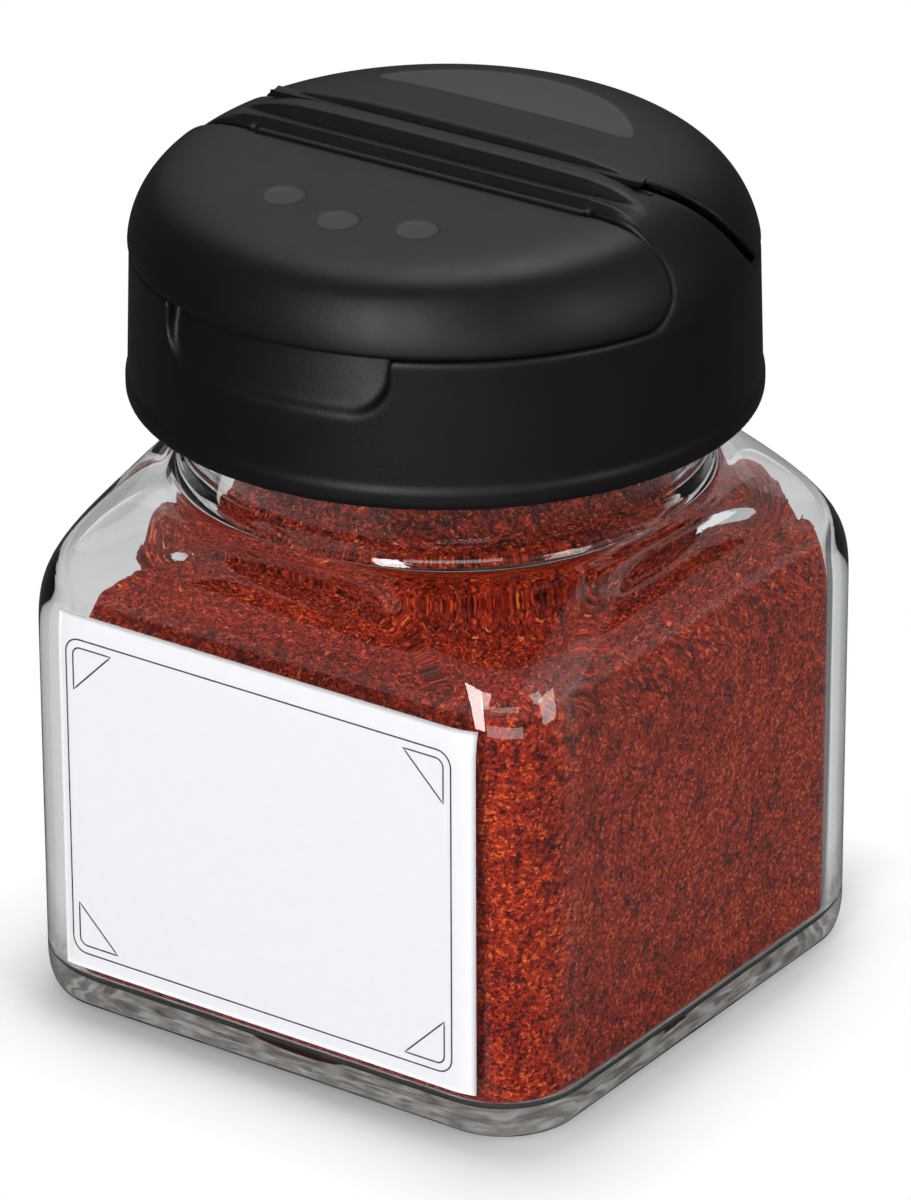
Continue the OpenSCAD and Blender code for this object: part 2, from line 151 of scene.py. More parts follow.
def mesh_object(name, points, faces, smooth=True):
    """A mesh piece from points in millimetres and faces of 3 or 4 corners."""
    mesh = bpy.data.meshes.new(name)
    points = np.asarray(points, dtype=np.float64) * MM
    if isinstance(faces, np.ndarray):
        count, corners = faces.shape
        mesh.vertices.add(len(points))
        mesh.vertices.foreach_set("co", points.ravel())
        mesh.loops.add(count * corners)
        mesh.loops.foreach_set("vertex_index", faces.ravel().astype(np.int32))
        mesh.polygons.add(count)
        mesh.polygons.foreach_set("loop_start", (np.arange(count) * corners).astype(np.int32))
        mesh.update(calc_edges=True)
    else:
        mesh.from_pydata(points.tolist(), [], faces)
    mesh.validate()
    mesh.shade_smooth() if smooth else mesh.shade_flat()
    piece = bpy.data.objects.new(name, mesh)
    bpy.context.collection.objects.link(piece)
    return piece


# Rounded-square rings


def ring_angles(count):
    """Polar angles of a ring's points, closer together at the body's corners."""
    t = (np.arange(count // 4) + 0.5) / (count / 8) - 1
    quarter = 45 + 45 * (0.5 * t + 0.5 * t**3)
    return np.radians(np.concatenate([quarter + 90 * q for q in range(4)]))


GLASS_ANGLES = ring_angles(256)
SPICE_ANGLES = ring_angles(512)


def ring_radius(half, corner, angles):
    """Distance from the middle to a rounded square, or to a circle where half and corner are equal."""
    corner = np.minimum(corner, half)
    c, s, k = np.abs(np.cos(angles)), np.abs(np.sin(angles)), half - corner
    flat = half / np.maximum(c, s)
    arc_part = k * (c + s) + np.sqrt(np.maximum(k * k * (c + s) ** 2 - 2 * k * k + corner**2, 0))
    return np.where(flat * np.minimum(c, s) <= k, flat, arc_part)


def ring(half, corner, z, angles=GLASS_ANGLES):
    """A ring of points at one height."""
    radius = ring_radius(half, corner, angles)
    return np.stack([radius * np.cos(angles), radius * np.sin(angles), np.full(len(angles), z)], axis=1)


def shoulder_form(half, corner, end, z, rise, share):
    """Half width, corner radius and height of the shoulder, from the square body to the round neck."""
    a = share * math.pi / 2
    w = end + (half - end) * math.cos(a) ** WIDTH_POWER
    r = corner + (w - corner) * (1 - math.cos(a) ** CORNER_POWER)
    return w, r, z + rise * math.sin(a) ** RISE_POWER


def foot_form(half, corner, z, height, inset, share):
    """Half width, corner radius and height of a rounded foot."""
    a = share * math.pi / 2
    d = inset * (1 - math.sin(a))
    return half - d, corner - d, z + height * (1 - math.cos(a))


def outer_forms():
    """The outside of the body from its foot to the end of its shoulder."""
    out = [foot_form(BODY_HALF, CORNER_R, 0, FOOT_H, FOOT_INSET, i / 24) for i in range(25)]
    walls = np.linspace(FOOT_H, SHOULDER_Z, 14)[1:-1]
    out += [(BODY_HALF, CORNER_R, z) for z in walls]
    shares = (np.arange(45) / 44) ** 1.6
    return out + [shoulder_form(BODY_HALF, CORNER_R, OUTER_END, SHOULDER_Z, SHOULDER_H, t) for t in shares]


def cavity_forms():
    """The inside of the body from its floor to the mouth's bore."""
    out = [foot_form(CAVITY_HALF, CAVITY_CORNER_R, BASE_T, FLOOR_ROUND, FLOOR_ROUND, i / 10) for i in range(11)]
    walls = np.linspace(BASE_T + FLOOR_ROUND, CAVITY_SHOULDER_Z, 14)[1:-1]
    out += [(CAVITY_HALF, CAVITY_CORNER_R, z) for z in walls]
    shares = (np.arange(45) / 44) ** 1.6
    return out + [
        shoulder_form(CAVITY_HALF, CAVITY_CORNER_R, BORE_R, CAVITY_SHOULDER_Z, CAVITY_SHOULDER_H, t) for t in shares
    ]


def loft(name, rings, close_start=True, close_end=True):
    """A piece through a stack of rings, each end closed by a fan."""
    n, m = len(rings[0]), len(rings)
    points = np.concatenate(rings)
    i, j = np.meshgrid(np.arange(n), np.arange(m - 1))
    a = (j * n + i).ravel()
    b = (j * n + (i + 1) % n).ravel()
    faces = np.stack([a, b, b + n, a + n], axis=1).tolist()
    if close_start:
        points = np.vstack([points, rings[0].mean(axis=0)])
        middle = len(points) - 1
        faces += [[(k + 1) % n, k, middle] for k in range(n)]
    if close_end:
        points = np.vstack([points, rings[-1].mean(axis=0)])
        middle = len(points) - 1
        base = (m - 1) * n
        faces += [[base + k, base + (k + 1) % n, middle] for k in range(n)]
    return mesh_object(name, points, faces)


# Solids as distance fields on a grid, in millimetres


class Field:
    """A grid of points over a box, on which solids are written as signed distances."""

    def __init__(self, low, high, step):
        self.low = np.array(low, dtype=np.float32)
        self.step = step
        count = np.ceil((np.array(high) - self.low) / step).astype(int) + 1
        axes = [self.low[k] + step * np.arange(count[k], dtype=np.float32) for k in range(3)]
        self.x = axes[0][:, None, None]
        self.y = axes[1][None, :, None]
        self.z = axes[2][None, None, :]
        self.r = np.sqrt(self.x**2 + self.y**2)

    def revolve(self, outline):
        """Distance to a solid of revolution about Z, from its closed outline in r and z."""
        step = 0.05
        radii = np.arange(0, self.r.max() + 2 * step, step)
        table = outline_distance(outline, radii[:, None], self.z[0, 0][None, :]).astype(np.float32)
        place = self.r[:, :, 0] / step
        i = place.astype(int)
        f = (place - i).astype(np.float32)[:, :, None]
        return table[i] * (1 - f) + table[i + 1] * f

    def along_x(self, outline):
        """Distance to an extrusion along X, from its closed outline in y and z."""
        flat = outline_distance(outline, self.y[0, :, 0][:, None], self.z[0, 0][None, :])
        return flat.astype(np.float32)[None, :, :]

    def along_z(self, outline):
        """Distance to an extrusion along Z, from its closed outline in x and y."""
        flat = outline_distance(outline, self.x[:, 0, 0][:, None], self.y[0, :, 0][None, :])
        return flat.astype(np.float32)[:, :, None]

    def post(self, x, y, radius, low, high):
        """Distance to an upright cylinder."""
        side = np.sqrt((self.x - x) ** 2 + (self.y - y) ** 2) - radius
        return np.maximum(side, np.maximum(low - self.z, self.z - high))

    def soften(self, distance, times):
        """Rounds every edge a little, as in a moulding."""
        full = np.array(np.broadcast_to(distance, (self.x.size, self.y.size, self.z.size)), dtype=np.float32)
        for _ in range(times):
            full[1:-1] = (full[:-2] + 2 * full[1:-1] + full[2:]) / 4
            full[:, 1:-1] = (full[:, :-2] + 2 * full[:, 1:-1] + full[:, 2:]) / 4
            full[:, :, 1:-1] = (full[:, :, :-2] + 2 * full[:, :, 1:-1] + full[:, :, 2:]) / 4
        return full

    def piece(self, name, distance):
        """A mesh piece of the surface where the distance is 0."""
        band = 3 * self.step
        full = np.broadcast_to(distance, (self.x.size, self.y.size, self.z.size))
        grid = openvdb.FloatGrid(background=band)
        grid.copyFromArray(np.ascontiguousarray(np.clip(full, -band, band), dtype=np.float32))
        points, triangles, quads = grid.convertToPolygons(isovalue=0.0, adaptivity=0.0)
        points = points.astype(np.float64) * self.step + self.low
        return mesh_object(name, points, quads[:, ::-1].astype(np.int64))


def outline_distance(outline, u, v):
    """Signed distance, negative inside, from grid points to a closed outline."""
    p = np.asarray(outline, dtype=np.float64)
    u, v = np.broadcast_arrays(u.astype(np.float64), v.astype(np.float64))
    best = np.full(u.shape, 1e9)
    inside = np.zeros(u.shape, dtype=bool)
    for (ax, ay), (bx, by) in zip(p, np.roll(p, -1, axis=0)):
        ex, ey = bx - ax, by - ay
        length = ex * ex + ey * ey
        if length < 1e-12:
            continue
        wx, wy = u - ax, v - ay
        t = np.clip((wx * ex + wy * ey) / length, 0, 1)
        best = np.minimum(best, (wx - t * ex) ** 2 + (wy - t * ey) ** 2)
        if ay != by:
            inside ^= ((ay > v) != (by > v)) & (u < ex * (v - ay) / ey + ax)
    return np.where(inside, -1, 1) * np.sqrt(best)


def both(a, b, k=0.0):
    """Where both solids are, with their shared edge rounded over a width k."""
    if k == 0:
        return np.maximum(a, b)
    h = np.maximum(k - np.abs(a - b), 0)
    return np.maximum(a, b) + h * h / (4 * k)


def either(a, b, k=0.0):
    """Where either solid is, with the corner between them filled over a width k."""
    return -both(-a, -b, k)


def cut(a, b, k=0.0):
    """The first solid without the second."""
    return both(a, -b, k)


def arc(cx, cy, radius, start, end, steps=8):
    """Points of an arc, in degrees."""
    return [
        (cx + radius * math.cos(math.radians(start + (end - start) * i / steps)),
         cy + radius * math.sin(math.radians(start + (end - start) * i / steps)))
        for i in range(steps + 1)
    ]


# Noise on scattered points


def noise_at(points, size, seed):
    """Smooth random values between -1 and 1, with cells of a size in millimetres."""
    table = np.random.RandomState(seed).uniform(-1, 1, (32, 32, 32))
    place = np.asarray(points) / size
    low = np.floor(place).astype(int)
    f = place - low
    f = f * f * (3 - 2 * f)
    out = 0
    for dx in (0, 1):
        for dy in (0, 1):
            for dz in (0, 1):
                weight = (
                    np.where(dx, f[:, 0], 1 - f[:, 0])
                    * np.where(dy, f[:, 1], 1 - f[:, 1])
                    * np.where(dz, f[:, 2], 1 - f[:, 2])
                )
                cell = (low + (dx, dy, dz)) % 32
                out = out + weight * table[cell[:, 0], cell[:, 1], cell[:, 2]]
    return out


# Glass jar


def ramp(value, low, high):
    """0 below low, 1 above high, and smooth between them."""
    t = np.clip((value - low) / (high - low), 0, 1)
    return t * t * (3 - 2 * t)


def thread_share(angles, z, start_z, half_width):
    """How far a point lies on the screw thread's ridge, 0 to 1, with the ends run out."""
    turn = (np.degrees(angles) - THREAD_START) % 360 / 360
    best = np.zeros(np.broadcast(turn, z).shape)
    for whole in range(math.ceil(THREAD_TURNS) + 1):
        along = turn + whole
        ends = ramp(along, 0, 0.05) * (1 - ramp(along, THREAD_TURNS - 0.05, THREAD_TURNS))
        across = np.abs(z - start_z - LEAD * along)
        ridge = 1 - ramp(across, half_width, half_width + 0.8)
        best = np.maximum(best, ridge * ends)
    return best


def rounded(forms, start_z, radius):
    """The same forms with their edges above a height rounded off, as in blown glass."""
    forms = np.array(forms)
    low = forms[forms[:, 2] <= start_z]
    high = forms[forms[:, 2] >= start_z]
    length = np.concatenate([[0], np.cumsum(np.linalg.norm(np.diff(high, axis=0), axis=1))])
    step = 0.12
    places = np.arange(0, length[-1], step)
    even = np.stack([np.interp(places, length, high[:, k]) for k in range(3)], axis=1)
    reach = int(4 * radius / step)
    weights = np.exp(-((np.arange(-reach, reach + 1) * step / radius) ** 2) / 2)
    weights /= weights.sum()
    spread = np.concatenate([
        2 * even[0] - even[reach:0:-1], even, 2 * even[-1] - even[-2:-reach - 2:-1],
    ])
    soft = np.stack([np.convolve(spread[:, k], weights, "valid") for k in range(3)], axis=1)
    return [tuple(form) for form in low[:-1]] + [tuple(form) for form in soft]


RIPPLE_D = 0.05


def rippled(points, z):
    """The same ring with the mould's ripples in the foot, drawn in from the outline."""
    if z <= 0 or z > FOOT_H:
        return points
    waves = noise_at(np.stack([points[:, 0] / 2.6, points[:, 1] / 2.6, points[:, 2] / 0.55], axis=1), 1, 42)
    shift = RIPPLE_D * (0.5 + 0.5 * waves) * math.sin(math.pi * z / FOOT_H)
    points[:, :2] *= 1 - (shift / np.linalg.norm(points[:, :2], axis=1))[:, None]
    return points


def glass_shell():
    """The whole jar as one closed skin: underside, outside, thread, rim, bore, inside and floor."""
    angles = GLASS_ANGLES
    rings = [ring(r, r, PUNT_H) for r in (4, 8, 12, 15, PUNT_R - 0.6)]
    rings += [ring(r, r, z) for r, z in ((PUNT_R - 0.15, PUNT_H - 0.15), (PUNT_R, 0.25), (PUNT_R + 0.25, 0))]
    foot_half, foot_corner, _ = foot_form(BODY_HALF, CORNER_R, 0, FOOT_H, FOOT_INSET, 0)
    start = PUNT_R + 0.25
    for share in (0.25, 0.5, 0.75):
        rings.append(ring(start + (foot_half - start) * share, start + (foot_corner - start) * share, 0))
    forms = outer_forms()
    for i in range(1, 9):
        a = math.radians(270 - i * 90 / 8)
        r = OUTER_END + NECK_FILLET * math.cos(a)
        forms.append((r, r, NECK_Z + NECK_FILLET * (1 + math.sin(a))))
    forms.append((NECK_R, NECK_R, NECK_Z + NECK_FILLET + 3))
    rings += [rippled(ring(*form), form[2]) for form in rounded(forms, SHOULDER_Z + 6, 0.45)]
    for z in np.arange(NECK_Z + NECK_FILLET + 3.1, RIM_Z - RIM_ROUND, 0.16):
        share = thread_share(angles, z, NECK_THREAD_Z, 0.45)
        root = NECK_R + (NECK_ROOT_R - NECK_R) * ramp(z, BEAD_TOP_Z - 0.6, BEAD_TOP_Z)
        radius = root + (NECK_CREST_R - root) * share
        rings.append(np.stack([radius * np.cos(angles), radius * np.sin(angles), np.full(len(angles), z)], axis=1))
    for i in range(9):
        a = i * math.pi / 16
        r = NECK_ROOT_R - RIM_ROUND * (1 - math.cos(a))
        rings.append(ring(r, r, RIM_Z - RIM_ROUND * (1 - math.sin(a))))
    for i in range(1, 7):
        a = i * math.pi / 12
        r = BORE_R + 0.5 * (1 - math.sin(a))
        rings.append(ring(r, r, RIM_Z - 0.5 * (1 - math.cos(a))))
    inside = cavity_forms()[::-1]
    rings += [ring(BORE_R, BORE_R, z) for z in np.linspace(RIM_Z - 0.5, inside[0][2], 12)[1:-1]]
    rings += [ring(*form) for form in inside]
    floor_half, floor_corner, _ = inside[-1]
    rings += [
        ring(floor_half * k, floor_half * k * (1 - k) + floor_corner * k * k, BASE_T) for k in (0.85, 0.6, 0.3)
    ]
    return loft("glass_shell", rings)


# Ground spice

HEAP_TOP = BASE_T + 38.3
HEAP_FALL = 6.2
HEAP_LEAN = (2.7, 5.7)
LUMP_H = 0.5
LUMP_L = 5.8
PILE_H = 14.5
PILE_SPREAD = 8.0
SEAT_GAP = 0.04
CRUMB = 1.3
CRUMB_FINE = 0.6


def heap_z(x, y):
    """Height of the spice's surface: a heap that leans, with a pile in the front right corner."""
    w = CAVITY_HALF
    pile = PILE_H * np.exp(-((x - w) ** 2 + (y + w) ** 2) / (2 * PILE_SPREAD**2))
    k = 2 * math.pi / LUMP_L
    lumps = np.sin(k * x + math.radians(31) * np.sin(0.76 * k * y))
    lumps = LUMP_H / 2 * (lumps + np.sin(0.85 * k * y - math.radians(40) * np.sin(0.61 * k * x)))
    fall = HEAP_FALL * (x * x + y * y) / w**2
    return HEAP_TOP + lumps - fall - HEAP_LEAN[0] * x / w + HEAP_LEAN[1] * y / w + pile


def crumbs(points):
    """Rounded crumbs with sharp creases between them: coarse and fine, each 0 in its creases."""
    return np.abs(noise_at(points, CRUMB, 12)), np.abs(noise_at(points, CRUMB_FINE, 13))


def clump_height(x, y):
    """Small lumps and crumbs on the spice's free surface."""
    flat = np.stack([x, y, np.zeros_like(x)], axis=-1).reshape(-1, 3)
    coarse, fine = crumbs(flat)
    height = 0.4 * noise_at(flat, 2.6, 11) + 0.75 * coarse + 0.45 * fine - 0.35
    return height.reshape(x.shape)


def spice_body():
    """The spice's closed skin, inside the glass and up to its heaped surface."""
    angles = SPICE_ANGLES
    c, s = np.cos(angles), np.sin(angles)
    forms = cavity_forms()
    heights = np.array([form[2] for form in forms])
    radii = np.array([ring_radius(form[0], form[1], angles) - SEAT_GAP for form in forms])
    above = heap_z(radii * c, radii * s) - heights[:, None]
    first = np.argmax(above < 0, axis=0)
    k = np.arange(len(angles))
    before, after = above[first - 1, k], above[first, k]
    t = before / (before - after)
    edge_z = heights[first - 1] * (1 - t) + heights[first] * t
    edge_z = edge_z + 0.35 * noise_at(np.stack([22 * c, 22 * s, 0 * c], axis=1), 1.3, 21)

    def wall_point(z):
        radius = np.array([np.interp(z[i], heights, radii[:, i]) for i in range(len(angles))])
        return np.stack([radius * c, radius * s, z], axis=1)

    rings = []
    floor = forms[0][0] - SEAT_GAP
    for share in (0.3, 0.6, 0.85):
        rings.append(ring(floor * share, floor * share, BASE_T + SEAT_GAP, angles))
    for share in np.arange(61) / 60:
        rings.append(wall_point(BASE_T + SEAT_GAP + (edge_z - BASE_T - SEAT_GAP) * share))
    edge = rings[-1]
    wall_rings = len(rings)
    for share in 1 - (np.arange(1, 126) / 126):
        x, y = edge[:, 0] * share, edge[:, 1] * share
        blend = ramp(1 - share, 0, 0.03)
        z = heap_z(x, y) + clump_height(x, y) * blend
        rings.append(np.stack([x, y, edge[:, 2] * (1 - blend) + z * blend], axis=1))
    piece = loft("spice_body", rings)
    count = len(piece.data.vertices)
    points = np.empty(count * 3, dtype=np.float32)
    piece.data.vertices.foreach_get("co", points)
    points = points.reshape(-1, 3) / MM
    points[wall_rings * len(angles):, 2] = 0
    # The crumbs' creases, kept for the painted shade that darkens the spice's colour in them.
    coarse, fine = crumbs(points)
    crease_shade = piece.data.attributes.new("crease_shade", "FLOAT", "POINT")
    crease_shade.data.foreach_set("value", (0.6 * coarse + 0.4 * fine).astype(np.float32))
    return piece


def flake_boxes(name, places, lengths, seed):
    """Many small tilted flakes as one piece, each with its own tone."""
    random = np.random.RandomState(seed)
    count = len(places)
    corners = np.array([(x, y, z) for z in (-1, 1) for x, y in ((-1, -0.6), (0.7, -1), (1, 0.5), (-0.5, 1))])
    yaw = random.uniform(0, 2 * math.pi, count)
    tilt = random.normal(0, 0.5, (count, 2))
    size = np.stack([lengths / 2, lengths / 2 * random.uniform(0.3, 0.7, count),
                     random.uniform(0.03, 0.08, count)], axis=1)
    local = corners[None] * size[:, None]
    x = local[..., 0] * np.cos(yaw)[:, None] - local[..., 1] * np.sin(yaw)[:, None]
    y = local[..., 0] * np.sin(yaw)[:, None] + local[..., 1] * np.cos(yaw)[:, None]
    z = local[..., 2] + x * tilt[:, :1] + y * tilt[:, 1:]
    points = np.stack([x, y, z], axis=-1) + places[:, None]
    box = np.array([[3, 2, 1, 0], [4, 5, 6, 7], [0, 1, 5, 4], [1, 2, 6, 5], [2, 3, 7, 6], [3, 0, 4, 7]])
    faces = (box[None] + 8 * np.arange(count)[:, None, None]).reshape(-1, 4)
    piece = mesh_object(name, points.reshape(-1, 3), faces, smooth=False)
    tone = piece.data.attributes.new("tone", "FLOAT", "POINT")
    tone.data.foreach_set("value", np.repeat(random.rand(count) ** 1.2, 8).astype(np.float32))
    return piece


def spice_flakes():
    """Coarser flakes that lie on the spice's free surface."""
    random = np.random.RandomState(31)
    x, y = random.uniform(-CAVITY_HALF, CAVITY_HALF, (2, 15000))
    z = heap_z(x, y) + clump_height(x, y)
    forms = cavity_forms()
    heights = [form[2] for form in forms]
    half = np.interp(z, heights, [form[0] for form in forms])
    corner = np.interp(z, heights, [form[1] for form in forms])
    inside = np.hypot(x, y) < ring_radius(half, corner, np.arctan2(y, x)) - 0.8
    places = np.stack([x, y, z + 0.03], axis=1)[inside]
    return flake_boxes("spice_flakes", places, random.uniform(0.2, 0.6, len(places)), 32)


# Label


def body_front(x, z):
    """Depth of the glass's front face at a place, following its corners and shoulder."""
    forms = outer_forms()
    heights = [form[2] for form in forms]
    half = np.interp(z, heights, [form[0] for form in forms])
    corner = np.interp(z, heights, [form[1] for form in forms])
    over = np.maximum(np.abs(x) - (half - corner), 0)
    return -(half - corner) - np.sqrt(np.maximum(corner**2 - over**2, 0))


LABEL_GLUE = 0.02
LABEL_T = 0.1


def label_sheet():
    """The paper label, which follows the glass."""
    nx, nz = 100, 80
    x, z = np.meshgrid(np.linspace(LABEL_LO[0], LABEL_HI[0], nx), np.linspace(LABEL_LO[2], LABEL_HI[2], nz))
    y = body_front(x, z) - LABEL_GLUE
    back = np.stack([x, y, z], axis=-1).reshape(-1, 3)
    front = back - (0, LABEL_T, 0)
    i, j = np.meshgrid(np.arange(nx - 1), np.arange(nz - 1))
    a = (j * nx + i).ravel()
    cells = np.stack([a, a + 1, a + nx + 1, a + nx], axis=1)
    n = nx * nz
    edge = np.concatenate([
        np.arange(nx - 1), nx - 1 + nx * np.arange(nz - 1),
        n - 1 - np.arange(nx - 1), nx * (nz - 1 - np.arange(nz - 1)),
    ])
    after = np.roll(edge, -1)
    sides = np.stack([edge, after, after + n, edge + n], axis=1)
    faces = np.concatenate([cells + n, cells[:, ::-1], sides[:, ::-1]])
    return mesh_object("label_sheet", np.concatenate([back, front]), faces)


BORDER_LO = (-18.6, 5.4)
BORDER_HI = (18.0, 32.9)
BORDER_R = 1.3
LINE_W = 0.13
TRIANGLE_INSET = 0.7
TRIANGLE_LEG = 3.7


def border_path():
    (x0, z0), (x1, z1), r = BORDER_LO, BORDER_HI, BORDER_R
    return (
        arc(x1 - r, z0 + r, r, -90, 0) + arc(x1 - r, z1 - r, r, 0, 90)
        + arc(x0 + r, z1 - r, r, 90, 180) + arc(x0 + r, z0 + r, r, 180, 270)
    )


def triangle_path(sx, sz):
    """A right-angled triangle in one corner of the border, its corner rounded as the border is."""
    x = (BORDER_HI if sx > 0 else BORDER_LO)[0] - sx * TRIANGLE_INSET
    z = (BORDER_HI if sz > 0 else BORDER_LO)[1] - sz * TRIANGLE_INSET
    r = BORDER_R - TRIANGLE_INSET + 0.1
    corner = [(x + sx * (px - r), z + sz * (pz - r)) for px, pz in arc(0, 0, r, 0, 90)]
    return [(x, z - sz * TRIANGLE_LEG)] + corner + [(x - sx * TRIANGLE_LEG, z)]


def along(path, step=0.4):
    """A closed path with more points on its long straight runs."""
    out = []
    for a, b in zip(path, path[1:] + path[:1]):
        n = max(1, int(math.dist(a, b) / step))
        out += [(a[0] + (b[0] - a[0]) * i / n, a[1] + (b[1] - a[1]) * i / n) for i in range(n)]
    return np.array(out)


def label_print():
    """Thin printed lines: a rounded border and a triangle in each of its corners."""
    points, faces = [], []
    for path in [border_path()] + [triangle_path(sx, sz) for sx in (-1, 1) for sz in (-1, 1)]:
        p = along(path)
        ahead = np.roll(p, -1, axis=0) - np.roll(p, 1, axis=0)
        ahead /= np.linalg.norm(ahead, axis=1)[:, None]
        side = np.stack([-ahead[:, 1], ahead[:, 0]], axis=1) * LINE_W / 2
        base, n = len(points), len(p)
        for k in range(n):
            for x, z in (p[k] - side[k], p[k] + side[k]):
                points.append((x, float(body_front(x, z)) - LABEL_GLUE - LABEL_T - 0.015, z))
        for k in range(n):
            a, b = base + 2 * k, base + 2 * ((k + 1) % n)
            faces.append([a, b, b + 1, a + 1])
    piece = mesh_object("label_print", points, faces, smooth=False)
    solid = piece.modifiers.new("thickness", "SOLIDIFY")
    solid.thickness = 0.012 * MM
    solid.offset = 0
    return piece


# Cap

LID_OVER = 0.15
DOME_R_POWER = 4.94
DOME_Z_POWER = 1.86
DOME_SPRING = 0.9
ROLL_R = 16.5
AXIS_SPARE = -3.0


def dome_outline(inset):
    """Outline in r and z of the solid dome, drawn past the axis."""
    t = np.radians(np.linspace(0, 90, 80))
    r = (LIP_R - inset) * np.sin(t) ** (2 / DOME_R_POWER)
    z = DECK_TOP + (DOME_H + DOME_SPRING - inset) * np.cos(t) ** (2 / DOME_Z_POWER) - DOME_SPRING
    low = DECK_TOP - 1
    curve = [(a, b) for a, b in zip(r, z) if b > low]
    return [(AXIS_SPARE, low), (AXIS_SPARE, curve[0][1])] + curve + [(LIP_R - inset, low)]


def roll_outline(inset):
    """Outline in r and z of the front lid's rolled rim, drawn past the axis."""
    rise = FRONT_FLAT_H - inset + 0.4
    curve = [
        (ROLL_R + (LIP_R - inset - ROLL_R) * math.cos(math.radians(a)), DECK_TOP + rise * math.sin(math.radians(a)))
        for a in range(0, 91, 3)
    ]
    low = DECK_TOP - 1
    return [(AXIS_SPARE, low), (LIP_R - inset, low)] + curve + [(AXIS_SPARE, DECK_TOP + rise)]


def front_plane(inset):
    """Side view in y and z of the space under the front lid's flat."""
    low, far = DECK_TOP - 4, -CAP_R - 1
    top = DECK_TOP + FRONT_FLAT_H - inset
    return [(far - 3, low), (8, low), (8, top), (FRONT_HINGE_Y, top), (far, top - FRONT_FLAT_FALL),
            (far - 3, top - FRONT_FLAT_FALL)]


def front_edge(side):
    """Side view of the front lid's edge (side 1) or of the bridge beside it (side -1), upwards."""
    y = FRONT_HINGE_Y - side * FILM_GAP
    low = LID_LOW if side > 0 else DECK_TOP
    rise = LID_CORNER_R + LID_LOW - low
    out = []
    for i in range(13):
        a = math.radians(-90 + i * 7.5)
        out.append((y - LID_CORNER_R + LID_CORNER_R * math.cos(a), low + rise * (1 + math.sin(a))))
    return out


def rear_edge(side):
    """Side view of the rear lid's edge (side 1) or of the bridge beside it (side -1), downwards."""
    drop = REAR_HINGE_H - 0.6 - 0.2
    out = []
    for i in range(17):
        u = i / 16
        slot = 0 if side > 0 else 0.2 + REAR_SLOT * math.sin(math.pi * u)
        out.append((REAR_HINGE_Y + side * FILM_GAP + REAR_SWEEP * u,
                    LID_LOW + drop * (0.5 + 0.5 * math.cos(math.pi * u)) - slot))
    return out


def bridge_outline():
    """Side view of the bridge, with its ledge, ridge, channel and band on top."""
    front, rear = front_edge(-1), rear_edge(-1)
    top = [(0.15, 7.1), (0.5, 7.1), (0.72, 7.72), (1.12, 7.75), (1.35, 7.28), (2.35, 7.25), (2.75, 8.45),
           (3.1, 8.52), (4.4, 8.52), (4.75, 8.4)]
    return (
        [(front[0][0], DECK_LOW)] + front
        + [(FRONT_HINGE_Y + y, DECK_TOP + z) for y, z in top]
        + rear + [(rear[-1][0], DECK_LOW)]
    )


def pour_shape(field, inset):
    """Upright D-shaped column of the pour opening."""
    return np.maximum(field.r - POUR_R + inset, POUR_Y + inset - field.y)


def hinge_holes(field):
    """Small holes at the ends of both hinge films."""
    out = None
    for half, y, z in ((FRONT_HINGE_HALF, FRONT_HINGE_Y, FRONT_FLAT_H), (REAR_HINGE_HALF, REAR_HINGE_Y, REAR_HINGE_H)):
        for s in (-1, 1):
            hole = field.post(s * (half + 0.35), y, 0.38, DECK_TOP + z - 1.6, DECK_TOP + z + 3)
            out = hole if out is None else either(out, hole)
    return out


